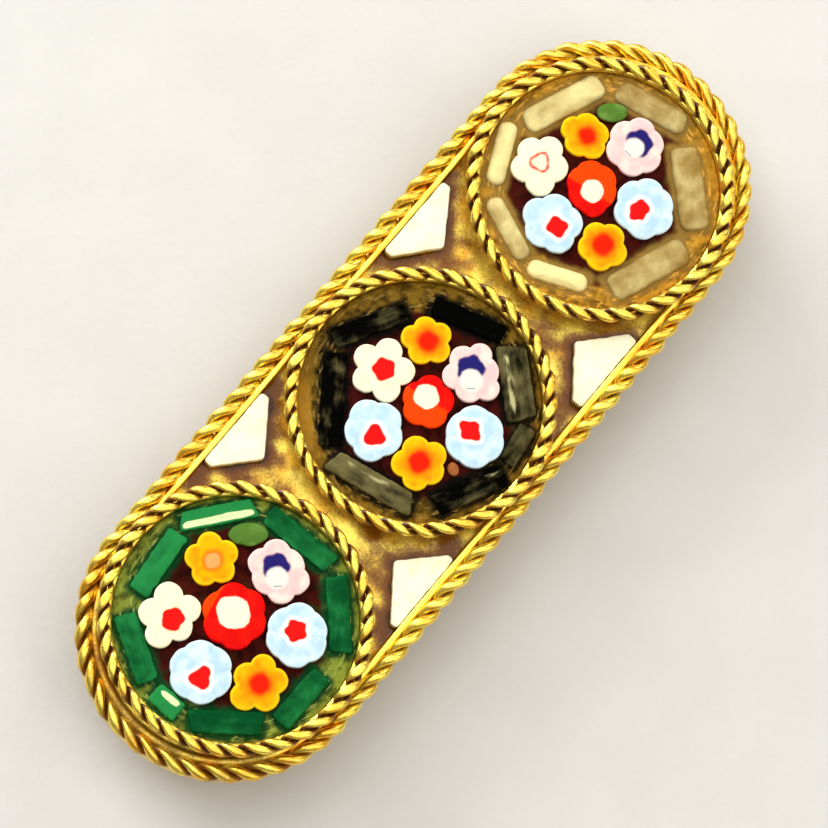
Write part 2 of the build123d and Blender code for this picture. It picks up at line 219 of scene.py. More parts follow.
# Small ovals: node, glass, cell, x, y, half length, half width, turn
CHIPS = [
    ("chip_green", "moss", "green", 0.595, 0.366, 0.158, 0.095, -48),
    ("chip_black", "tan", "black", -0.255, -0.556, 0.058, 0.046, 60),
    ("leaf_beige", "moss", "beige", 0.572, 0.335, 0.128, 0.08, -50),
]

# Where the cement along a cell's wall is thin and golden, in degrees, and how much of it
BARE_PATCH = {"green": (0, 0.0), "black": (138, 1.0), "beige": (322, 0.7)}
STAINS = {"green": (2, 66, 32), "black": (8, 9, 6), "beige": (146, 114, 52)}  # cement round the sticks

# Ivory tiles in shares of the well's radius: node, neck, side, left, right, tip, depth, shoulder
TILES = [
    ("tile_left_top", -1, 1, 0.33, 0.41, 0.0, 0.365, 0.075),
    ("tile_right_top", 1, 1, 0.37, 0.395, -0.03, 0.36, 0.08),
    ("tile_left_low", -1, -1, 0.37, 0.365, 0.045, 0.365, 0.06),
    ("tile_right_low", 1, -1, 0.32, 0.41, 0.07, 0.385, 0.09),
]

# Cane glass of the flowers. A colour is a setting's name or a screen colour.
# petals, their clouds, second colour, core, softness of the core's and the second colour's edge, rim
CANES = {
    "white": ("cream", (248, 240, 196), "cream", "core_red", 0.05, 0.05, None),
    "ringed": ("cream", (248, 240, 196), "cream", (226, 78, 72), 0.07, 0.05, None),
    "orange": ("orange", (255, 146, 0), (255, 112, 0), "ember", 0.16, 0.30, (255, 205, 20)),
    "pale_orange": ("orange", (255, 150, 0), (240, 124, 10), (246, 164, 92), 0.08, 0.16, (255, 205, 20)),
    "pink": ("pink", (252, 222, 208), (228, 230, 218), "navy", 0.08, 0.10, (250, 212, 204)),
    "blue": ("sky", (214, 235, 242), (246, 246, 236), "core_red", 0.05, 0.12, (206, 229, 240)),
    "red": ("poppy", (236, 20, 4), (255, 66, 0), "cream", 0.05, 0.08, None),
}

# Glass of the sticks: name, body, light streaks, colour of the painted highlight, strength of the streaks
# and of the clouds, gloss, and where on the side its painted shade starts
STICK_GLASS = {
    "green": ("emerald", "deep_green", "emerald", (216, 232, 176), 0.55, 1.6, 0.02, 0.80),
    "black": ("black", "jet", "smoke", (186, 180, 128), 1.1, 1.6, 0.006, 0.80),
    "beige": ("beige", "sand", "straw", (252, 246, 200), 0.16, 1.1, 0.05, 0.50),
}

# Stage, in metres but for the camera's aim, which is in millimetres in the picture.
# lights: name, place, size, the setting that its power is a share of, the share, colour
LIGHTS = [
    ("main_light", (0.05, 0.30, 0.34), 0.36, "key", 0.95, (1.0, 0.99, 0.97)),
    ("warm_light", (0.10, -0.33, 0.28), 0.36, "fill", 1.0, (1.0, 0.90, 0.72)),
    ("front_light", (0.0, -0.02, 0.44), 0.44, "key", 0.86, (1.0, 0.99, 0.95)),
    ("end_light", (0.38, 0.04, 0.22), 0.26, "key", 0.5, (1.0, 0.96, 0.86)),
    ("glint_light", (0.09, 0.38, 0.14), 0.20, "key", 1.2, (1.0, 1.0, 1.0)),
]
FLOOR_SIZE = 3.0
LENS = 217.7
AIM = (0.175, 0.39)


def tint(red, green, blue):
    """A screen colour from 0 to 255 as the linear numbers that a shader takes."""
    shares = [channel / 255 for channel in (red, green, blue)]
    return tuple(c / 12.92 if c < 0.04 else ((c + 0.055) / 1.055) ** 2.4 for c in shares)


def times(shade, factor):
    """A darker or lighter shade of a colour."""
    return tuple(c * factor for c in shade)


def colour(name, description, *screen):
    return FloatVectorProperty(name=name, description=description, subtype="COLOR", size=3, min=0, max=1,
                               default=tint(*screen))


def share(name, description, default, top=1.0):
    return FloatProperty(name=name, description=description, default=default, min=0, max=top,
                         subtype="FACTOR")


def small_length(name, description, millimetres):
    return FloatProperty(name=name, description=description, default=millimetres * MM, min=0, max=2 * MM,
                         precision=6, unit="LENGTH", subtype="DISTANCE")


def power(name, description, watts):
    return FloatProperty(name=name, description=description, default=watts, min=0, unit="POWER")


def turn_of(name, description, degrees):
    return FloatProperty(name=name, description=description, default=math.radians(degrees), unit="ROTATION")


class BroochMetal(bpy.types.PropertyGroup):
    """Gilt of the plate, walls and wires"""

    gold: colour("Gold", "Colour of the polished gilt", 255, 226, 92)
    red_gold: colour("Warm gold", "Colour of the gilt where it is worn to the alloy", 250, 192, 56)
    # Patina in the hollows, also the colour of the painted shade on the gilt
    patina_and_shade: colour("Patina", "Colour of the grime in the grooves", 132, 78, 6)
    roughness: share("Roughness", "Roughness of the polished gilt", 0.30)
    wear: small_length("Wear", "How far the tops of the cell wires are rubbed flat", 0.05)
    wobble: small_length("Wobble", "How unevenly the strands lie", 0.028)
    sides: IntProperty(name="Sides", description="Faces round one strand", default=14, min=8, max=24)
    steps: IntProperty(name="Steps", description="Faces along one bead", default=13, min=6, max=24)


class BroochGlass(bpy.types.PropertyGroup):
    """Glass of the flowers, sticks, chips and tiles"""

    cream: colour("Cream", "Petals of the white flowers and dots of the red ones", 250, 243, 206)
    core_red: colour("Core red", "Cores of the white and blue flowers", 228, 18, 16)
    orange: colour("Orange", "Petals of the orange flowers", 255, 180, 0)
    ember: colour("Ember", "Soft cores of the orange flowers", 248, 28, 0)
    pink: colour("Pink", "Petals of the pink flowers", 246, 194, 192)
    navy: colour("Navy", "Crescents of the pink flowers", 34, 28, 104)
    sky: colour("Pale blue", "Petals of the blue flowers", 180, 212, 234)
    poppy: colour("Poppy red", "Petals of the red flowers", 218, 5, 2)
    emerald: colour("Emerald", "Light streaks of the green sticks", 34, 132, 66)
    deep_green: colour("Deep green", "Body of the green sticks", 0, 70, 30)
    jet: colour("Jet", "Body of the black sticks", 3, 3, 2)
    smoke: colour("Smoke", "Streaks of the black sticks", 108, 100, 62)
    sand: colour("Sand", "Body of the beige sticks", 142, 110, 44)
    straw: colour("Straw", "Light streaks of the beige sticks", 240, 226, 156)
    moss: colour("Moss", "The leaf and the green chip", 78, 118, 38)
    tan: colour("Tan", "The small brown chip", 178, 108, 56)
    ivory: colour("Ivory", "The tiles between the cells", 252, 249, 218)
    roughness: share("Roughness", "Roughness of the ground faces", 0.28)
    dome: small_length("Dome", "How far the middle of a flower stands above its edge", 0.03)


class BroochCement(bpy.types.PropertyGroup):
    """Cement between the pieces of glass"""

    level: small_length("Depth", "How far the cement lies below the flowers' tops", 0.42)
    dark: colour("Dark cement", "Cement between the flowers", 66, 12, 6)
    green: colour("Green cell's cement", "Cement along the green cell's wall", 134, 148, 56)
    black: colour("Black cell's cement", "Cement along the black cell's wall", 128, 98, 28)
    beige: colour("Beige cell's cement", "Cement along the beige cell's wall", 196, 144, 44)


class BroochStage(bpy.types.PropertyGroup):
    """Floor, lights and camera"""

    floor: colour("Floor", "Colour of the pale floor", 212, 211, 208)
    world: share("Surroundings", "Brightness of the room", 0.28, 2.0)
    key: power("Main light", "Power of the soft light", 0.98)
    fill: power("Side light", "Power of the warm light", 0.60)
    lean: turn_of("Lean", "Angle of the camera from straight above", 12.8)
    side_lean: turn_of("Side lean", "The same across the brooch", 1.6)
    roll: turn_of("Roll", "Turn of the brooch in the picture", 50.08)
    distance: FloatProperty(name="Distance", description="From the brooch to the camera", unit="LENGTH",
                            default=0.25)


# Shapes

def ripple(x, y, size, seed):
    """Smooth random height at x, y: the sum of fourteen sine waves in random directions, each about size
    long, divided so that it mostly stays between -1 and 1."""
    source = np.random.default_rng(seed)
    direction = source.uniform(0, 2 * np.pi, 14)
    number = 2 * np.pi / (size * source.uniform(0.6, 1.7, 14))
    phase = source.uniform(0, 2 * np.pi, 14)
    along = x[..., None] * np.cos(direction) + y[..., None] * np.sin(direction)
    return np.sin(along * number + phase).sum(-1) / 5


def uneven(turns, low, high, seed):
    """Smooth random value along a closed line, where turns goes from 0 to 1: the sum of twelve sine waves
    with whole numbers of periods between low and high."""
    source = np.random.default_rng(seed)
    periods = source.integers(low, high, 12)
    phase = source.uniform(0, 2 * np.pi, 12)
    return np.sin(2 * np.pi * turns[..., None] * periods + phase).sum(-1) / 5


def smooth_step(value, low, high):
    """0 below low, 1 above high, and 3t^2 - 2t^3 between them."""
    t = np.clip((value - low) / (high - low), 0, 1)
    return t * t * (3 - 2 * t)


def bell(value, size):
    """1 at 0 and falling to both sides: e to the power of minus the square of value / size."""
    return np.exp(-((value / size) ** 2))


def fall(distance, size):
    """1 inside, where the distance is negative, and e to the power of -distance / size outside."""
    return np.exp(-np.maximum(distance, 0) / size)


def near_neck(x, y, size):
    """1 in the middle of the neck between two cells, and a bell curve round it."""
    return bell(np.hypot(np.abs(x) - CELL_PITCH / 2, y), size)


def circle(count):
    """Even angles round a full turn."""
    return np.linspace(0, 2 * np.pi, count, endpoint=False)


def polar(radius, angle):
    """Places at a radius from the origin, in the direction of an angle."""
    return np.stack([radius * np.cos(angle), radius * np.sin(angle)], -1)


def turned(x, y, degrees):
    """Places turned anticlockwise round the origin."""
    c, s = math.cos(math.radians(degrees)), math.sin(math.radians(degrees))
    return x * c - y * s, x * s + y * c


def unit(vectors):
    """Vectors of length 1 in the same directions."""
    return vectors / np.linalg.norm(vectors, axis=-1, keepdims=True)


def in_cell(cell, x, y):
    """A place given in shares of the well's radius from the cell's centre."""
    return np.array([CELLS[cell] + x * WELL_RADIUS, y * WELL_RADIUS])


def ring_path(centre_x):
    """Length of a cell wire's circle, and the function that gives the points at distances along it, at
    offsets outwards and at heights above the plate."""

    def at(distance, offset, height):
        angle = distance / WIRE_PATH
        radius = WIRE_PATH + offset
        place = centre_x + radius * np.cos(angle), radius * np.sin(angle), PLATE_TOP + height
        return np.stack(np.broadcast_arrays(*place), -1)

    return 2 * np.pi * WIRE_PATH, at


def border_path():
    """The same for the rope's line: two straight sides joined by half circles."""
    bend = np.pi * ROPE_PATH
    half_length = bend + 2 * HALF_STRAIGHT

    def at(distance, offset, height):
        rest = distance % half_length
        angle = np.minimum(rest, bend) / ROPE_PATH - np.pi / 2
        radius = ROPE_PATH + offset
        way = 1 - 2 * (np.floor(distance / half_length) % 2)
        x = way * (HALF_STRAIGHT - np.maximum(rest - bend, 0) + radius * np.cos(angle))
        return np.stack(np.broadcast_arrays(x, way * radius * np.sin(angle), PLATE_TOP + height), -1)

    return 2 * half_length, at


def quads(rows, columns, closed_rows=False):
    """Corner numbers of the faces between neighbouring rows, where each row's last point joins its first.
    They face outwards when columns run anticlockwise and rows run from the top outwards and down."""
    i = np.arange(rows if closed_rows else rows - 1)[:, None]
    j = np.arange(columns)[None, :]
    below, beside = (i + 1) % rows, (j + 1) % columns
    corners = [i * columns + j, below * columns + j, below * columns + beside, i * columns + beside]
    return np.stack([np.broadcast_to(c, (i.size, columns)) for c in corners], -1).reshape(-1, 4)


def new_object(name, data):
    """An object at the origin, in the scene."""
    made = bpy.data.objects.new(name, data)
    bpy.context.scene.collection.objects.link(made)
    return made


class Shape:
    """Points, faces and named values of a piece while it is being put together."""

    def __init__(self):
        self.points, self.faces, self.values, self.count = [], [], {}, 0

    def add(self, points, faces, **values):
        self.points.append(points.reshape(-1, 3))
        self.faces += (np.asarray(faces) + self.count).tolist()
        size = len(self.points[-1])
        for name, value in values.items():
            self.values.setdefault(name, []).append(value if np.ndim(value) else np.full(size, float(value)))
        self.count += size

    def closed_rows(self, rows, **values):
        """Rows that close on themselves both ways, such as a tube's."""
        self.add(rows, quads(*rows.shape[:2], True), **values)

    def capped_rows(self, rows, **values):
        """Rows from the top outwards and down, with a flat cap inside the first and the last."""
        first, last = self.count, self.count + (len(rows) - 1) * rows.shape[1]
        self.add(rows, quads(*rows.shape[:2]), **values)
        self.faces.append(list(range(first, first + rows.shape[1])))
        self.faces.append(list(range(last + rows.shape[1] - 1, last - 1, -1)))

    def slab(self, place, top, rows, bottom, **values):
        """Rows outwards and down, with a pole above and one below at this place. Each value has one number
        a point: the upper pole's, the rows' and the lower pole's."""
        columns = rows.shape[1]
        first = self.count
        points = np.concatenate([[[*place, top]], rows.reshape(-1, 3), [[*place, bottom]]])
        self.add(points, quads(*rows.shape[:2]) + 1, **values)
        j = np.arange(columns)
        beside = (j + 1) % columns
        last = 1 + (len(rows) - 1) * columns
        fan = np.stack([np.zeros(columns, int), j + 1, beside + 1], -1)
        base = np.stack([last + beside, last + j, np.full(columns, len(points) - 1)], -1)
        self.faces += (np.concatenate([fan, base]) + first).tolist()

    def make(self, name, material, slot, *nodes):
        """Turns it into a smooth mesh at the origin, which rides on the brooch and stands for the nodes."""
        mesh = bpy.data.meshes.new(name)
        mesh.from_pydata((np.concatenate(self.points) * MM).tolist(), [], self.faces)
        for label, parts in self.values.items():
            data = np.concatenate(parts).astype(np.float32)
            kind, field = ("FLOAT", "value") if data.ndim == 1 else ("FLOAT_VECTOR", "vector")
            mesh.attributes.new(label, kind, "POINT").data.foreach_set(field, data.ravel())
        mesh.shade_smooth()
        mesh.update()
        mesh.materials.append(material)
        piece = new_object(name, mesh)
        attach(piece, "root")
        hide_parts(*nodes)


def twisted_pair(shape, path, bead, radius, height, metal, wear, flank_shade, grime_and_shade, end_darkening, seed):
    """Two strands twisted together. A strand's centre circles the wire's line at half the radius, half a
    turn for each bead, and its section is an ellipse round that centre. With an odd number of beads both
    strands are one line that goes round twice. The section angle 0 is the crest. Beyond it the value for
    patina and painted crevice shade rises to a given strength, and by a second given share, which is painted
    shade, where a strand comes down the wire's side, where it is thinner too. Towards the green cell's end
    it rises by the given end darkening."""
    length, at = path
    beads = round(length / bead)
    rounds = 1 + beads % 2
    centre, half_depth, half_width = (part * radius for part in STRAND)
    wobble = metal.wobble / MM
    for start in (0.0, math.pi)[: 3 - rounds]:
        count = beads * metal.steps * rounds
        turns = np.arange(count) / count
        distance = turns * rounds * length
        twist = start - math.pi * distance * beads / length + 0.10 * uneven(turns, 8, beads, seed)
        lift = np.sin(twist)
        swell = 1 + 0.07 * uneven(turns, beads // 3, 2 * beads, seed=seed + 1) + 0.16 * flank_shade * (lift - 0.5)
        offset = centre * np.cos(twist) + wobble * uneven(turns, 10, beads, seed=seed + 2)
        rise = height + centre * np.sin(twist) + wobble * uneven(turns, 10, beads, seed=seed + 3) * 0.5
        line = at(distance, offset, rise)
        along = unit(np.roll(line, -1, 0) - np.roll(line, 1, 0))
        crest = at(distance, offset + np.cos(twist), rise + np.sin(twist)) - line
        crest = unit(crest - along * (crest * along).sum(1, keepdims=True))
        across = np.cross(along, crest)
        section = 2 * np.pi * np.arange(metal.sides) / metal.sides
        depth = (half_depth * np.cos(section))[:, None, None] * swell[None, :, None]
        width = (half_width * np.sin(section))[:, None, None] * swell[None, :, None]
        points = line[None] + depth * crest[None] + width * across[None]
        # What stands above the ceiling is rubbed down to it, ever less beside it
        over = np.maximum(points[..., 2] - (PLATE_TOP + height + radius - 2 * wear), 0)
        points[..., 2] -= over - wear * (1 - np.exp(-over / max(wear, 1e-6)))
        from_crest = np.degrees(np.abs((section + np.pi) % (2 * np.pi) - np.pi))
        # Painted shade where a strand comes down the wire's side
        low = flank_shade * (1 - smooth_step(lift + 0.12 * uneven(turns, 10, beads, seed=seed + 4), -0.1, 0.75))
        # Patina with painted shade in the crevices between the strands
        groove = grime_and_shade * smooth_step(from_crest, *GROOVE_ANGLES)[:, None] + low[None, :]
        # Darker towards the green cell's end
        groove = groove + end_darkening * smooth_step(-points[..., 0], *ROPE_END_DARKENING)
        shape.closed_rows(points, groove=groove.ravel())


def petal_radius(angle, petals, notch, turn):
    """Radius of a flower's outline at an angle. Each petal lies on the circle x^2 + y^2 + ax + by + c = 0
    through its tip and its two notches, which is met at -m + sqrt(m^2 - c), where
    m = (a cos(angle) + b sin(angle)) / 2."""
    reach = np.array(petals) * WELL_RADIUS
    step = 2 * np.pi / len(reach)
    tip = math.radians(turn) + step * np.arange(len(reach))
    before = notch * (reach + np.roll(reach, 1)) / 2
    radius = np.stack([before, reach, np.roll(before, -1)], -1)
    way = np.stack([tip - step / 2, tip, tip + step / 2], -1)
    points = np.stack([radius * np.cos(way), radius * np.sin(way), np.ones_like(way)], -1)
    circles = np.linalg.solve(points, -(radius**2)[..., None])[..., 0]
    petal = np.round((angle - math.radians(turn)) / step).astype(int) % len(reach)
    a, b, c = np.moveaxis(circles[petal], -1, 0)
    m = (a * np.cos(angle) + b * np.sin(angle)) / 2
    return -m + np.sqrt(np.maximum(m**2 - c, 0))


def rounded(corners, radius, count):
    """Evenly spaced points round a polygon given anticlockwise, whose corners are arcs that touch both
    edges."""
    corners = np.array(corners, float)
    before = unit(np.roll(corners, 1, 0) - corners)
    after = unit(np.roll(corners, -1, 0) - corners)
    half = np.arccos(np.clip((before * after).sum(1), -1, 1)) / 2
    centre = corners + unit(before + after) * (radius / np.sin(half))[:, None]
    start = corners + before * (radius / np.tan(half))[:, None] - centre
    sweep = (np.pi - 2 * half)[:, None] * np.linspace(0, 1, 7)
    x = start[:, :1] * np.cos(sweep) - start[:, 1:] * np.sin(sweep) + centre[:, :1]
    y = start[:, :1] * np.sin(sweep) + start[:, 1:] * np.cos(sweep) + centre[:, 1:]
    line = np.stack([x, y], -1).reshape(-1, 2)
    line = np.concatenate([line, line[:1]])
    run = np.concatenate([[0], np.cumsum(np.linalg.norm(np.diff(line, axis=0), axis=1))])
    place = np.linspace(0, run[-1], count, endpoint=False)
    return np.stack([np.interp(place, run, line[:, 0]), np.interp(place, run, line[:, 1])], -1)


def inset(outline, depth):
    """The outline moved inwards by depth, along the normal of each point."""
    along = unit(np.roll(outline, -1, 0) - np.roll(outline, 1, 0))
    return outline + np.reshape(depth, (-1, 1)) * np.stack([-along[:, 1], along[:, 0]], -1)


def glass_rows(outline, bottom, thickness, bevel, crown, steps):
    """Rows of a ground piece of glass in its own place: shares of the bevelled outline for the crowned top,
    a quarter round for the bevel, and the side. Returns the height of the top's middle and the rows."""
    top = bottom + thickness
    shoulder = inset(outline, bevel)
    plan = [(shoulder * s, top - crown * s**3) for s in np.linspace(1 / steps, 1, steps)]
    for turn in np.radians([30, 60, 90]):
        plan.append((inset(outline, bevel * (1 - np.sin(turn))), top - crown - bevel * (1 - np.cos(turn))))
    plan += [(outline, bottom + 0.02), (outline * 0.9, bottom)]
    return top, np.array([np.column_stack([line, np.full(len(line), height)]) for line, height in plan])


def raise_top(rows, top, low, high, relief):
    """Adds relief to the top of a piece of glass: none up to low beneath its middle, all from high on."""
    rows[..., 2] += smooth_step(rows[..., 2], top - low, top - high) * relief


# Finishes

class Finish:
    """A material of nodes for one finish of the brooch. Lengths are in millimetres."""

    def __init__(self, name, **settings):
        self.material = bpy.data.materials.new(name)
        self.material.use_nodes = True
        self.tree = self.material.node_tree
        self.tree.nodes.clear()
        self.shader = self.add("BsdfPrincipled", **settings)
        output = self.add("OutputMaterial")
        self.tree.links.new(self.shader.outputs[0], output.inputs["Surface"])
        self.place = self.add("TexCoord").outputs["Object"]

    def add(self, kind, **settings):
        """A shader node, its sockets set or linked by name."""
        node = self.tree.nodes.new("ShaderNode" + kind)
        for name, value in settings.items():
            self.put(node.inputs[name.replace("_", " ")], value)
        return node

    def fill(self, node, sockets):
        """The same by the sockets' numbers."""
        for number, value in sockets.items():
            self.put(node.inputs[number], value)
        return node.outputs

    def put(self, socket, value):
        if isinstance(value, bpy.types.NodeSocket):
            self.tree.links.new(value, socket)
        else:
            socket.default_value = tuple(value)[:3] + (1,) if socket.type == "RGBA" else value

    def attribute(self, name, output="Fac"):
        node = self.add("Attribute")
        node.attribute_name = name
        return node.outputs[output]

    def noise(self, size, detail=3, vector=None):
        """Cloudy noise whose patches are about size across. A vector from an attribute is in millimetres."""
        scale = 1 / size if vector else 1 / (size * MM)
        node = self.add("TexNoise", Vector=vector or self.place, Scale=scale, Detail=detail)
        return node.outputs["Fac"]

    def fade(self, value, low, high, start=0.0, end=1.0):
        """start below low, end above high, and a smooth change between them."""
        node = self.add("MapRange")
        node.interpolation_type = "SMOOTHSTEP"
        return self.fill(node, dict(enumerate((value, low, high, start, end))))[0]

    def sum(self, first, second, operation="ADD"):
        node = self.add("Math")
        node.operation = operation
        return self.fill(node, {0: first, 1: second})[0]

    def product(self, first, second):
        return self.sum(first, second, "MULTIPLY")

    def swing(self, value, strength):
        """How far a value such as noise lies from a half, times strength."""
        return self.product(self.sum(value, -0.5), strength)

    def mix(self, share, first, second):
        node = self.add("Mix")
        node.data_type = "RGBA"
        return self.fill(node, {0: share, 6: first, 7: second})[2]

    def over(self, base, shade, value, low, high, start=0.0, end=1.0):
        """The base with a shade laid over it, as the value fades from low to high."""
        return self.mix(self.fade(value, low, high, start, end), base, shade)

    def bump(self, height, depth, **under):
        """Relief of this depth in millimetres, on top of another where Normal names one."""
        return self.add("Bump", Height=height, Distance=depth * MM, **under).outputs[0]

    def finish(self, **links):
        for name, value in links.items():
            self.put(self.shader.inputs[name.replace("_", " ")], value)
        return self.material


def gilt(metal):
    """Polished gilt with warmer worn patches, and brown patina with painted shade where the value for patina
    and painted shade is high; where it is highest, a near-black painted shadow.
    """
    if "gilt" in bpy.data.materials:
        return bpy.data.materials["gilt"]
    f = Finish("gilt", Coat_Weight=0.5, Coat_Roughness=0.12)
    grain = f.noise(0.09, detail=4)
    patches = f.fade(f.noise(1.3, detail=4), 0.42, 0.66)
    layer = f.sum(f.attribute("groove"), f.swing(grain, 0.45))
    layer = f.sum(layer, f.swing(f.noise(0.8, detail=2), 0.7))
    # Where the patina and the painted shade lie
    patina_and_shade_share = f.fade(layer, 0.38, 1.05)
    base = f.mix(patina_and_shade_share, f.mix(patches, metal.gold, metal.red_gold), metal.patina_and_shade)
    # Near-black painted shadow in the deepest crevices and beside the tiles
    base = f.over(base, times(metal.patina_and_shade, 0.2), layer, 1.05, 1.5, 0.0, 0.85)
    rough = f.fade(grain, 0.3, 0.7, metal.roughness - 0.05, metal.roughness + 0.10)
    relief = f.bump(grain, depth=0.003, Normal=f.bump(f.noise(0.34, detail=2), depth=0.02))
    return f.finish(Base_Color=base, Metallic=f.fade(patina_and_shade_share, 0.35, 1.0, 1.0, 0.35), Normal=relief,
                    Roughness=f.sum(f.product(patina_and_shade_share, 0.42), rough),
                    Specular_IOR_Level=f.fade(patina_and_shade_share, 0.35, 1.0, 0.5, 0.1))


def cement(name, dark, wall, stain, golden):
    """Murky cement, dark between the flowers and lighter along the wall, where the wall value is high. Round
    the sticks, where the near value is high, it takes their colour, and where the bare value is high it is
    golden. Pale threads of glass lie along the wall."""
    f = Finish(name, Specular_IOR_Level=0.03)
    grain, blotch = f.noise(0.10, detail=4), f.noise(0.5, detail=4)
    near = f.sum(f.attribute("wall"), f.swing(f.noise(0.9, detail=3), 0.9))
    murk = f.mix(near, times(dark, 0.35), times(wall, 0.30))
    base = f.over(dark, wall, near, 0.25, 0.85)
    base = f.over(base, murk, blotch, 0.40, 0.66)
    base = f.over(base, murk, grain, 0.42, 0.75, 0.0, 0.3)
    tinted = f.sum(f.attribute("near"), f.swing(blotch, 0.5))
    base = f.over(base, stain, tinted, 0.12, 0.60, 0.0, 0.92)
    bare = f.sum(f.attribute("bare"), f.swing(blotch, 1.2))
    base = f.over(base, times(golden, 0.72), bare, 0.25, 0.95, 0.0, 0.85)
    thread = f.fade(f.noise(0.16, detail=2, vector=f.attribute("round", "Vector")), 0.56, 0.66)
    thread = f.product(thread, f.fade(near, 0.5, 0.9, 0.0, 0.6))
    base = f.mix(thread, base, tuple(min(1.0, 1.5 * c + 0.04) for c in wall))
    relief = f.bump(grain, depth=0.02, Normal=f.bump(blotch, depth=0.10))
    return f.finish(Base_Color=base, Roughness=f.fade(blotch, 0.3, 0.7, 0.35, 0.6), Normal=relief)


def cane_glass(kind, glass):
    """Cane glass: clouded petals, with a second colour and a core where the second and core values, which
    are distances in millimetres from their outlines, are negative. A thin dark line follows the line
    value."""
    *shades, softness, second_softness, rim = CANES[kind]
    petal, cloud, second, core = (getattr(glass, c) if isinstance(c, str) else tint(*c) for c in shades)
    f = Finish(kind + "_cane", Specular_IOR_Level=0.03, Coat_Weight=0.03, Coat_Roughness=0.06)
    warp = f.swing(f.noise(0.35, detail=3), 0.16)
    base = f.over(petal, cloud, f.noise(0.75, detail=4), 0.40, 0.68)
    if rim:
        base = f.over(base, tint(*rim), f.sum(f.attribute("rim"), warp), 0.02, 0.26, 0.85, 0.0)
    for value, soft, shade in (("second", second_softness, second), ("core", softness, core)):
        base = f.over(base, shade, f.sum(f.attribute(value), warp), -soft, soft, 1.0, 0.0)
    line = f.add("SeparateXYZ", Vector=f.attribute("line", "Vector")).outputs
    over = f.fade(f.sum(line[0], 0.0, "ABSOLUTE"), 0.01, 0.05, 0.6, 0.0)
    base = f.mix(f.product(over, f.fade(line[1], 0.16, 0.26, 1.0, 0.0)), base, glass.navy)
    grain = f.noise(0.12, detail=4)
    rough = f.fade(grain, 0.35, 0.7, glass.roughness - 0.08, glass.roughness + 0.14)
    relief = f.bump(grain, depth=0.006, Normal=f.bump(f.noise(0.5, detail=4), depth=0.02))
    return f.finish(Base_Color=base, Roughness=rough, Normal=relief)


def stick_glass(cell, glass):
    """Drawn glass with streaks along each stick. The tone value picks between body and light, and the
    highlight value adds a painted highlight along the stick. Its sides get painted shade, from the edge
    value shade_from on."""
    name, body, light, pale, streaks, clouds, gloss, shade_from = STICK_GLASS[cell]
    body = getattr(glass, body)
    f = Finish(name + "_glass", Specular_IOR_Level=gloss, Coat_Weight=gloss, Coat_Roughness=0.05)
    along = f.attribute("along", "Vector")
    drawn = f.add("VectorMath", Vector=along)
    drawn.operation = "MULTIPLY"
    drawn.inputs[1].default_value = (0.30, 1.0, 1.0)
    streak = f.noise(0.34, detail=3, vector=drawn.outputs[0])
    tone = f.sum(f.attribute("tone"), f.swing(streak, streaks))
    tone = f.sum(tone, f.swing(f.noise(1.1, detail=3, vector=along), clouds))
    base = f.over(body, getattr(glass, light), tone, 0.0, 1.0)
    # Painted shade on the stick's sides
    base = f.over(base, times(body, 0.35), f.attribute("edge"), shade_from, 0.95, 0.0, 0.6)
    gleam = f.sum(f.attribute("gleam"), f.swing(streak, 1.3))
    # Painted highlight along the stick
    base = f.over(base, tint(*pale), gleam, 0.42, 0.72)
    rough = f.fade(streak, 0.3, 0.75, glass.roughness - 0.12, glass.roughness + 0.12)
    relief = f.bump(f.noise(0.5, detail=3), depth=0.03, Normal=f.bump(streak, depth=0.02))
    return f.finish(Base_Color=base, Roughness=rough, Normal=relief)


def plain_glass(name, glass, shade, *second):
    """Opaque glass with faint clouds and pits."""
    f = Finish(name, Specular_IOR_Level=0.06, Coat_Weight=0.04, Coat_Roughness=0.15)
    cloud = f.fade(f.noise(0.7, detail=4), 0.42, 0.7)
    pits = f.product(f.fade(f.noise(0.16, detail=3), 0.66, 0.74), 0.35)
    base = f.mix(pits, f.mix(cloud, shade, tint(*second)), times(tint(*second), 0.55))
    rough = f.fade(cloud, 0.0, 1.0, glass.roughness, glass.roughness + 0.12)
    return f.finish(Base_Color=base, Roughness=rough, Normal=f.bump(f.noise(0.4, detail=5), depth=0.02))


# Plate, walls and wires

def tile_outline(neck, side, left, right, tip, depth, shoulder):
    """Corners of a tile, anticlockwise."""
    base = STRIP_INNER - TILE_GAP
    corners = [(right, 0), (right, shoulder), (tip, depth), (-left, shoulder), (-left, 0)]
    outline = np.array([(neck * CELL_PITCH / 2 + x * WELL_RADIUS, side * (base - y * WELL_RADIUS))
                        for x, y in corners])
    return outline[::-1] if side > 0 else outline


def tile_distance(x, y):
    """Distance to the nearest tile: how far the point lies beyond the farthest of the tile's edges."""
    nearest = np.full(x.shape, FAR)
    for _, *row in TILES:
        outline = tile_outline(*row)
        along = unit(np.roll(outline, -1, 0) - outline)
        beyond = (x[..., None] - outline[:, 0]) * along[:, 1] - (y[..., None] - outline[:, 1]) * along[:, 0]
        nearest = np.minimum(nearest, beyond.max(-1))
    return nearest


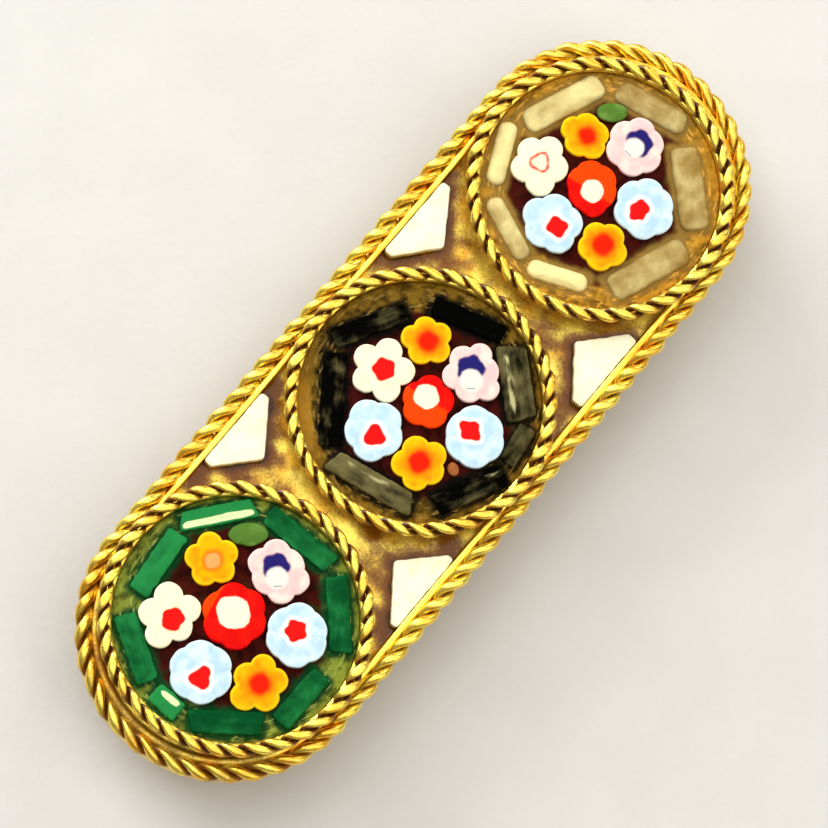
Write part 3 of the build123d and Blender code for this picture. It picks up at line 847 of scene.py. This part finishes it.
def plate_and_strip(finish):
    """Rows that follow the rope's line, each at an offset outwards and a level, from the plate's middle
    over the strip and the edge to the underside. The floor is a little uneven, and rises at both ends."""
    length, at = border_path()
    inner = STRIP_INNER - ROPE_PATH
    top, face = STRIP_HEIGHT, inner - STRIP_OVERHANG
    floor_rows = [(inner - d, 0.0) for d in np.linspace(STRIP_INNER - 0.03, 0.16, 34)]
    strip_rows = [(face - 0.06, 0.01), (face - 0.02, 0.05), (face, 0.12), (face, top - 0.3),
                  (face, top - 0.06), (face + 0.02, top - 0.02), (face + 0.06, top),
                  (inner + STRIP_WIDTH - 0.05, top), (inner + STRIP_WIDTH, top - 0.05)]
    under_rope = [(-0.30, 0.45), (0.0, 0.30), (0.24, 0.20)]
    edge, under = PLATE_EDGE, -PLATE_THICKNESS
    edge_rows = [(edge - 0.01, 0.12), (edge, 0.06), (edge, -0.70), (edge - 0.02, -0.77),
                 (edge - 0.08, under), (edge - 0.30, under)]
    offset, level = np.array(floor_rows + strip_rows + under_rope + edge_rows).T[:, :, None]
    points = at(np.linspace(0, length, PLATE_POINTS, endpoint=False)[None, :], offset, level)
    x, y = points[..., 0], points[..., 1]
    from_end = np.hypot(np.maximum(np.abs(x) - CELL_PITCH, 0), y)
    end = smooth_step(from_end, 6.1, 6.4) * (np.abs(x) > CELL_PITCH)
    # The pocket floor: patina with painted shade, lighter at the necks
    pocket = 0.72 + 0.22 * ripple(x, y, size=1.6, seed=4) - 0.35 * near_neck(x, y, size=1.1)
    # Painted shadow beside the tiles, and a little less darkening at the ends
    pocket = pocket + 0.75 * fall(tile_distance(x, y), size=0.35) - 0.15 * end
    groove = np.where(offset < inner + 0.03, pocket * (1 - smooth_step(level, 0.25, top - 0.05)), 0.0)
    groove = np.where((offset > edge - 0.02) & (level > -0.1), 0.7, groove)
    # Darker towards the green cell's end, above the floor
    groove = groove + 0.75 * smooth_step(-x, *STRIP_END_DARKENING) * (level > 0.2)
    floor = 0.012 * ripple(x, y, size=1.1, seed=3) + end * (END_RISE + 0.04 * ripple(x, y, size=0.9, seed=5))
    points[..., 2] += np.where(level == 0.0, floor, 0.0)
    shape = Shape()
    shape.capped_rows(points, groove=groove.ravel())
    shape.make("plate", finish, "gilt_metal", "setting")


def cell_walls(finish):
    """Three rings: a profile of offsets from the wire's line and heights is carried round each cell."""
    inner, outer = WELL_RADIUS - WIRE_PATH, WELL_RADIUS + WALL_THICKNESS - WIRE_PATH
    profile = [(inner, WIRE_HEIGHT), (outer, WIRE_HEIGHT), (outer, 0.7), (outer, 0.3), (outer + 0.01, 0.1),
               (outer + 0.04, -0.02), (inner, -0.02), (inner, 0.4), (inner, 0.9)]
    offset, height = np.array(profile).T[:, :, None]
    walls = Shape()
    for centre_x in CELLS.values():
        length, at = ring_path(centre_x)
        rows = at(np.linspace(0, length, WALL_POINTS, endpoint=False)[None, :], offset, height)
        # Patina with painted shade at a quarter strength over the walls, less near the necks
        grime_and_shade = np.where(offset > 0, 1 - smooth_step(height, 0.2, 1.1), 0.25)
        grime_and_shade = grime_and_shade * (1 - 0.7 * near_neck(rows[..., 0], rows[..., 1], size=1.0))
        walls.closed_rows(rows, groove=grime_and_shade.ravel())
    walls.make("cell_walls", finish, "gilt_metal", "setting")


class BROOCH_OT_plate(bpy.types.Operator):
    """Plate with the bezel strip along its edge, and the three cell walls"""

    bl_idname = "brooch.plate"
    bl_label = "Plate and cell walls"

    def execute(self, context):
        finish = gilt(context.scene.brooch_metal)
        plate_and_strip(finish)
        cell_walls(finish)
        return {"FINISHED"}


class BROOCH_OT_wires(bpy.types.Operator):
    """Twisted rope along the border and a finer twisted wire on each cell wall"""

    bl_idname = "brooch.wires"
    bl_label = "Twisted wires"

    def execute(self, context):
        metal = context.scene.brooch_metal
        finish = gilt(metal)
        rope = Shape()
        twisted_pair(rope, border_path(), ROPE_BEAD, ROPE_RADIUS, ROPE_RADIUS, metal, wear=0.01, flank_shade=0.15,
                     grime_and_shade=0.60, end_darkening=0.45, seed=11)
        rope.make("border_rope", finish, "gilt_metal", "setting")
        for number, (cell, centre_x) in enumerate(CELLS.items()):
            wire = Shape()
            twisted_pair(wire, ring_path(centre_x), WIRE_BEAD, WIRE_RADIUS, WIRE_HEIGHT, metal,
                         wear=metal.wear / MM, flank_shade=0.75, grime_and_shade=1.0, end_darkening=0.0, seed=31 + 10 * number)
            wire.make("cell_wire_" + cell, finish, "gilt_metal", "setting")
        return {"FINISHED"}


# Cement

def glass_distance(cell, x, y):
    """Distances in millimetres from each point of the cell, given from its centre, to the nearest outline of
    a flower and of a stick, taking a stick as a box."""
    to_flower = to_stick = np.full(x.shape, FAR)
    for _, fx, fy, notch, turn, petals in FLOWERS[cell]:
        dx, dy = x - fx * WELL_RADIUS, y - fy * WELL_RADIUS
        rim = petal_radius(np.arctan2(dy, dx), petals, notch, turn)
        to_flower = np.minimum(to_flower, np.hypot(dx, dy) - rim)
    for bx, by, outer, inner, width, turn, _, _ in BARS[cell]:
        across, up = turned(x - bx * WELL_RADIUS, y - by * WELL_RADIUS, -turn)
        ex = np.abs(across) - (outer + inner) / 4 * WELL_RADIUS
        ey = np.abs(up) - width / 2 * WELL_RADIUS
        box = np.hypot(np.maximum(ex, 0), np.maximum(ey, 0)) + np.minimum(np.maximum(ex, ey), 0)
        to_stick = np.minimum(to_stick, box)
    return to_flower, to_stick


def cement_bed(shape, cell, number, level):
    """A disc whose top climbs a little beside the glass, sinks along the wall and is uneven. It keeps how
    near each point is to the wall and to a stick, and its place along the wall."""
    radius, angle = np.linspace(0.07, WELL_RADIUS - 0.03, 84)[:, None], circle(CEMENT_POINTS)[None, :]
    x, y = np.moveaxis(polar(radius, angle), -1, 0)
    to_flower, to_stick = glass_distance(cell, x, y)
    climb = 0.05 * fall(np.minimum(to_flower, to_stick), size=0.10)
    climb = climb - 0.08 * smooth_step(radius, WELL_RADIUS - 0.6, WELL_RADIUS)
    z = level + climb + 0.025 * ripple(x, y, size=0.7, seed=50 + number)
    z = z + 0.012 * ripple(x, y, size=0.25, seed=60 + number)
    rim = np.array([x[-1], y[-1], 0 * x[-1] + CEMENT_BOTTOM + 0.05])
    foot = np.array([0.98 * x[-1], 0.98 * y[-1], 0 * x[-1] + CEMENT_BOTTOM])
    rows = np.concatenate([np.stack([x, y, z], -1), rim.T[None], foot.T[None]]) + [CELLS[cell], 0, 0]
    below = 2 * x.shape[1] + 1  # points under the top: two rows and a pole

    def value(on_top, under=0.0):
        return np.concatenate([[0.0], np.broadcast_to(on_top, x.shape).ravel(), np.full(below, under)])

    wall = smooth_step(radius + 0.25 * ripple(x, y, size=1.5, seed=70 + number), 4.2, 5.3)
    patch, strength = BARE_PATCH[cell]
    bare = strength * smooth_step(radius, 5.3, 5.6) * bell(angle - math.radians(patch), size=0.42)
    around = [1.6 * np.cos(angle), 1.6 * np.sin(angle), radius]
    shape.slab((CELLS[cell], 0), level, rows, CEMENT_BOTTOM,
               wall=value(wall, 1.0), near=value(fall(to_stick, size=0.28)), bare=value(bare),
               round=np.stack([value(part) for part in around], -1))


class BROOCH_OT_cement(bpy.types.Operator):
    """Cement that rises between the pieces of glass in each cell"""

    bl_idname = "brooch.cement"
    bl_label = "Cement"

    def execute(self, context):
        settings = context.scene.brooch_cement
        level = GLASS_BOTTOM + FLOWER_THICKNESS - settings.level / MM
        for number, cell in enumerate(CELLS):
            shape = Shape()
            cement_bed(shape, cell, number, level)
            finish = cement("cement_" + cell, settings.dark, getattr(settings, cell), tint(*STAINS[cell]),
                            settings.beige)
            shape.make("cement_fill_" + cell, finish, "cement", "cement_bed_" + cell)
        return {"FINISHED"}


# Glass

def set_down(shape, rows, top, place, turn=0, bottom=GLASS_BOTTOM, **values):
    """Turns a piece of glass, moves it to its place and adds it."""
    x, y = turned(rows[..., 0], rows[..., 1], turn)
    rows = np.stack([x + place[0], y + place[1], rows[..., 2]], -1)
    shape.slab(place, top, rows, bottom, **values)


def core_distance(x, y, core):
    """Signed distance to a core: the point's distance from the core's centre minus the core's radius in that
    direction, which is an ellipse's with a wave of a few corners added."""
    cx, cy, half_width, half_height, corners, strength, turn = core
    dx, dy = x - cx, y - cy
    angle = np.arctan2(dy, dx)
    radius = 1 / np.hypot(np.cos(angle) / half_width, np.sin(angle) / half_height)
    return np.hypot(dx, dy) - radius * (1 + strength * np.cos(corners * (angle - math.radians(turn))))


def crescent_distance(x, y, crescent):
    """Signed distances to the dark blob where the disc doesn't cover it and to the disc, and each point's
    place over and beside a short line near the disc's edge on the side away from the blob."""
    blob_x, blob_y, blob_radius, disc_x, disc_y, disc_radius = crescent
    disc = np.hypot(x - disc_x, y - disc_y) - disc_radius
    blob = core_distance(x, y, (blob_x, blob_y, blob_radius, blob_radius, 5, 0.07, 20))
    away = unit(np.array([disc_x - blob_x, disc_y - blob_y]))
    dx, dy = x - disc_x - LINE_PLACE * away[0], y - disc_y - LINE_PLACE * away[1]
    over = dx * away[0] + dy * away[1]
    beside = np.abs(dy * away[0] - dx * away[1])
    return np.maximum(blob, -disc), disc, np.stack([over, beside, 0 * over], -1)


def flower(shape, cell, number, row, glass):
    """A slice of cane. The outline is carried inwards in shares to the middle; the top is a shallow dome
    that leans a little, with a furrow between each two petals."""
    name, fx, fy, notch, turn, petals = row
    kind = name.split("_")[0]
    reach = max(petals) * WELL_RADIUS
    step = 2 * np.pi / len(petals)
    seed = 100 + 10 * number + 100 * list(CELLS).index(cell)
    angle = circle(FLOWER_POINTS) + math.radians(turn)
    radius = petal_radius(angle, petals, notch, turn)
    outline = polar(radius, angle)
    outline *= 1 + 0.008 * ripple(outline[:, 0], outline[:, 1], size=0.6, seed=seed)[:, None]
    top, rows = glass_rows(outline, GLASS_BOTTOM, FLOWER_THICKNESS, bevel=0.07, crown=glass.dome / MM,
                           steps=16)
    x, y = rows[..., 0], rows[..., 1]
    from_middle = np.hypot(x, y)
    lean = np.random.default_rng(seed).uniform(-0.022, 0.022, 2)
    from_notch = np.abs((angle - math.radians(turn)) % step - step / 2)[None, :] * from_middle
    seam = bell(from_notch, size=0.06) * smooth_step(from_middle / reach, 0.50, 0.85)
    relief = lean[0] * x + lean[1] * y + 0.008 * ripple(x, y, size=0.8, seed=seed + 1)
    relief = relief - 0.03 * seam - FLOWER_SINK
    raise_top(rows, top, low=0.12, high=0.05, relief=relief)
    rows[..., 2] = np.minimum(rows[..., 2], top + 0.01)
    px, py = (np.concatenate([[0.0], part.ravel(), [0.0]]) for part in (x, y))
    line, second = np.full(px.shape + (3,), 1.0), np.full(px.shape, 1.0)
    if kind == "pink":
        core, second, line = crescent_distance(px, py, CRESCENTS[cell])
    else:
        core = core_distance(px, py, CORES[cell][name])
    if kind in CORE_RIMS:
        second = core - CORE_RIMS[kind]
    if kind == "red":
        way, edge = RED_SPLIT[cell]
        second = edge - turned(px, py, -way)[0]
    if ODD_CANES.get((cell, name)) == "ringed":
        core = np.abs(core) - RING_HALF_WIDTH
    rim = np.concatenate([[reach], (radius[None, :] - from_middle).ravel(), [0.0]])
    place = in_cell(cell, fx, fy)
    set_down(shape, rows, top - FLOWER_SINK, place, core=core, second=second, line=line, rim=rim)
    return kind


class BROOCH_OT_flowers(bpy.types.Operator):
    """Seven flowers in each cell, cut from coloured cane"""

    bl_idname = "brooch.flowers"
    bl_label = "Flowers"

    def execute(self, context):
        glass = context.scene.brooch_glass
        finishes = {kind: cane_glass(kind, glass) for kind in CANES}
        for cell, table in FLOWERS.items():
            for number, row in enumerate(table):
                shape = Shape()
                kind = flower(shape, cell, number, row, glass)
                label = "%s_%s" % (cell, row[0])
                finish = finishes[ODD_CANES.get((cell, row[0]), kind)]
                shape.make("cane_" + label, finish, "glass_" + kind, "flower_" + label)
        return {"FINISHED"}


def stick(shape, cell, number, row):
    """A glass stick: a rounded trapezoid with an uneven edge, crowned top and rounded shoulder, turned into
    its place. Each point keeps its place along and across the stick for the streaks."""
    bx, by, outer, inner, width, turn, tone, gleam = row
    seed = 400 + 10 * number + 100 * list(CELLS).index(cell)
    corner, rough_edge, bevel, crown = STICK_FORM[cell]
    half_outer, half_inner, half_width = (side / 2 * WELL_RADIUS for side in (outer, inner, width))
    corners = [(half_outer, half_width), (-half_outer, half_width), (-half_inner, -half_width),
               (half_inner, -half_width)]
    outline = rounded(corners, corner * WELL_RADIUS, STICK_POINTS)
    outline = inset(outline, rough_edge * ripple(outline[:, 0], outline[:, 1], size=0.5, seed=seed) - 0.03)
    top, rows = glass_rows(outline, GLASS_BOTTOM, BAR_THICKNESS, bevel=bevel, crown=crown, steps=7)
    x, y = rows[..., 0], rows[..., 1]
    relief = 0.022 * ripple(x, y, size=1.0, seed=seed + 1) + 0.006 * ripple(x, y, size=0.3, seed=seed + 2)
    raise_top(rows, top, low=0.25, high=0.10, relief=relief)
    layer = 3.0 * number  # keeps the noise of one stick apart from the next one's
    along = np.stack([x, y, np.full(x.shape, layer)], -1).reshape(-1, 3)
    along = np.concatenate([[[0, 0, layer]], along, [[0, 0, layer]]])
    edge = np.concatenate([[0.0], np.repeat(np.linspace(0.1, 1.0, len(rows)), len(outline)), [1.0]])
    # Painted highlight: a pale strip along the stick's inner side, fading towards its ends
    streak = gleam * bell(along[:, 1] / half_width + 0.45, size=0.33)
    streak = streak * smooth_step(half_inner - np.abs(along[:, 0]), 0.0, 0.5)
    set_down(shape, rows, top, in_cell(cell, bx, by), turn, along=along, tone=tone, gleam=streak, edge=edge)


class BROOCH_OT_sticks(bpy.types.Operator):
    """Glass sticks that frame the flowers of each cell"""

    bl_idname = "brooch.sticks"
    bl_label = "Glass sticks"

    def execute(self, context):
        for cell, table in BARS.items():
            shape = Shape()
            for number, row in enumerate(table):
                stick(shape, cell, number, row)
            finish = stick_glass(cell, context.scene.brooch_glass)
            shape.make("glass_sticks_" + cell, finish, "glass_" + STICK_GLASS[cell][0], "bars_" + cell)
        return {"FINISHED"}


class BROOCH_OT_chips(bpy.types.Operator):
    """Small oval pieces of glass beside the flowers"""

    bl_idname = "brooch.chips"
    bl_label = "Leaf and chips"

    def execute(self, context):
        glass = context.scene.brooch_glass
        finishes = {"moss": plain_glass("moss_glass", glass, glass.moss, 104, 142, 62),
                    "tan": plain_glass("tan_glass", glass, glass.tan, 150, 84, 40)}
        for number, (node, kind, cell, cx, cy, half_length, half_width, turn) in enumerate(CHIPS):
            outline = polar(1.0, circle(CHIP_POINTS)) * [half_length, half_width] * WELL_RADIUS
            outline *= 1 + 0.03 * ripple(outline[:, 0], outline[:, 1], size=0.6, seed=800 + number)[:, None]
            top, rows = glass_rows(outline, GLASS_BOTTOM, CHIP_THICKNESS, bevel=0.09, crown=0.05, steps=6)
            shape = Shape()
            set_down(shape, rows, top, in_cell(cell, cx, cy), turn)
            shape.make("glass_" + node, finishes[kind], "glass_" + kind, node)
        return {"FINISHED"}


class BROOCH_OT_tiles(bpy.types.Operator):
    """Ivory tiles in the pockets between the cells"""

    bl_idname = "brooch.tiles"
    bl_label = "Ivory tiles"

    def execute(self, context):
        glass = context.scene.brooch_glass
        finish = plain_glass("ivory_glass", glass, glass.ivory, 246, 240, 200)
        for number, (node, *row) in enumerate(TILES):
            outline = tile_outline(*row)
            centre = outline.mean(0)
            outline = rounded(outline - centre, TILE_ROUND, TILE_POINTS)
            x, y = outline.T
            outline = inset(outline, 0.015 * ripple(x, y, size=0.7, seed=900 + number))
            top, rows = glass_rows(outline, TILE_BOTTOM, TILE_THICKNESS, bevel=0.07, crown=0.02, steps=8)
            relief = 0.012 * ripple(rows[..., 0], rows[..., 1], size=1.2, seed=950 + number)
            raise_top(rows, top, low=0.15, high=0.05, relief=relief)
            shape = Shape()
            set_down(shape, rows, top, centre, bottom=TILE_BOTTOM)
            shape.make("ivory_" + node, finish, "glass_ivory", node)
        return {"FINISHED"}


class BROOCH_OT_pin(bpy.types.Operator):
    """Gilt finish of the pin finding on the back"""

    bl_idname = "brooch.pin"
    bl_label = "Pin finding"

    def execute(self, context):
        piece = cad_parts["pin_finding"]
        piece.data.materials.clear()
        piece.data.materials.append(gilt(context.scene.brooch_metal))
        return {"FINISHED"}


# Stage

def floor_sheet(stage):
    """A square of pale paper."""
    f = Finish("floor_paper", Roughness=0.9)
    paper = f.over(stage.floor, times(stage.floor, 0.96), f.noise(6.0, detail=4), 0.3, 0.7)
    mesh = bpy.data.meshes.new("floor")
    h = FLOOR_SIZE / 2
    mesh.from_pydata([(-h, -h, 0), (h, -h, 0), (h, h, 0), (-h, h, 0)], [], [(0, 1, 2, 3)])
    mesh.materials.append(f.finish(Base_Color=paper, Normal=f.bump(f.noise(0.5, detail=3), depth=0.02)))
    new_object("floor", mesh)


def soft_light(name, place, size, watts, tone):
    """A square soft light that faces the brooch."""
    light = bpy.data.lights.new(name, "AREA")
    light.shape = "SQUARE"
    light.size = size
    light.energy = watts
    light.color = tone
    lamp = new_object(name, light)
    lamp.location = place
    lamp.rotation_euler = (-Vector(place)).to_track_quat("-Z", "Y").to_euler()


def camera_at(stage):
    """The camera at the photograph's angle: it leans from straight above, then rolls."""
    a, b, r = stage.lean, stage.side_lean, stage.roll
    back = Vector((-math.sin(a), -math.sin(b), math.sqrt(1 - math.sin(a) ** 2 - math.sin(b) ** 2)))
    right = Vector((0, 1, 0)).cross(back).normalized()
    up = back.cross(right)
    view_x = right * math.cos(r) - up * math.sin(r)
    view_y = right * math.sin(r) + up * math.cos(r)
    focus = Vector((0, 0, PLATE_TOP * MM)) - view_x * AIM[0] * MM - view_y * AIM[1] * MM
    camera = new_object("camera", bpy.data.cameras.new("camera"))
    camera.data.sensor_width = 36
    camera.data.lens = LENS
    camera.data.clip_start = 0.01
    camera.data.clip_end = 10
    matrix = Matrix((view_x, view_y, back)).transposed().to_4x4()
    camera.matrix_world = Matrix.Translation(focus + back * stage.distance) @ matrix
    return camera


class BROOCH_OT_stage(bpy.types.Operator):
    """Pale floor, soft studio light and the camera"""

    bl_idname = "brooch.stage"
    bl_label = "Stage"

    def execute(self, context):
        scene, stage = context.scene, context.scene.brooch_stage
        floor_sheet(stage)
        scene.world = scene.world or bpy.data.worlds.new("room")
        scene.world.use_nodes = True
        background = scene.world.node_tree.nodes["Background"].inputs
        background["Color"].default_value = (0.98, 0.98, 1.0, 1)
        background["Strength"].default_value = stage.world
        for name, place, size, setting, part, tone in LIGHTS:
            soft_light(name, place, size, getattr(stage, setting) * part, tone)
        scene.view_settings.view_transform = "Standard"
        scene.camera = camera_at(stage)
        return {"FINISHED"}


STEPS = (BROOCH_OT_plate, BROOCH_OT_wires, BROOCH_OT_cement, BROOCH_OT_flowers, BROOCH_OT_sticks,
         BROOCH_OT_chips, BROOCH_OT_tiles, BROOCH_OT_pin, BROOCH_OT_stage)
SETTINGS = {"brooch_metal": BroochMetal, "brooch_glass": BroochGlass, "brooch_cement": BroochCement,
            "brooch_stage": BroochStage}


class BROOCH_PT_panel(bpy.types.Panel):
    """Settings and steps of the brooch"""

    bl_idname = "BROOCH_PT_panel"
    bl_label = "Micromosaic brooch"
    bl_space_type = "VIEW_3D"
    bl_region_type = "UI"
    bl_category = "Brooch"

    def draw(self, context):
        layout = self.layout
        for step in STEPS:
            layout.operator(step.bl_idname)
        for name, group in SETTINGS.items():
            box = layout.box()
            box.label(text=group.__doc__)
            for label in group.__annotations__:
                box.prop(getattr(context.scene, name), label)


def register():
    for name, group in SETTINGS.items():
        bpy.utils.register_class(group)
        setattr(bpy.types.Scene, name, PointerProperty(type=group))
    for step in STEPS:
        bpy.utils.register_class(step)
    bpy.utils.register_class(BROOCH_PT_panel)


def unregister():
    bpy.utils.unregister_class(BROOCH_PT_panel)
    for step in reversed(STEPS):
        bpy.utils.unregister_class(step)
    for name, group in SETTINGS.items():
        delattr(bpy.types.Scene, name)
        bpy.utils.unregister_class(group)


def main():
    register()
    bpy.ops.brooch.plate()
    bpy.ops.brooch.wires()
    bpy.ops.brooch.cement()
    bpy.ops.brooch.flowers()
    bpy.ops.brooch.sticks()
    bpy.ops.brooch.chips()
    bpy.ops.brooch.tiles()
    bpy.ops.brooch.pin()
    bpy.ops.brooch.stage()


if __name__ == "__main__":
    main()
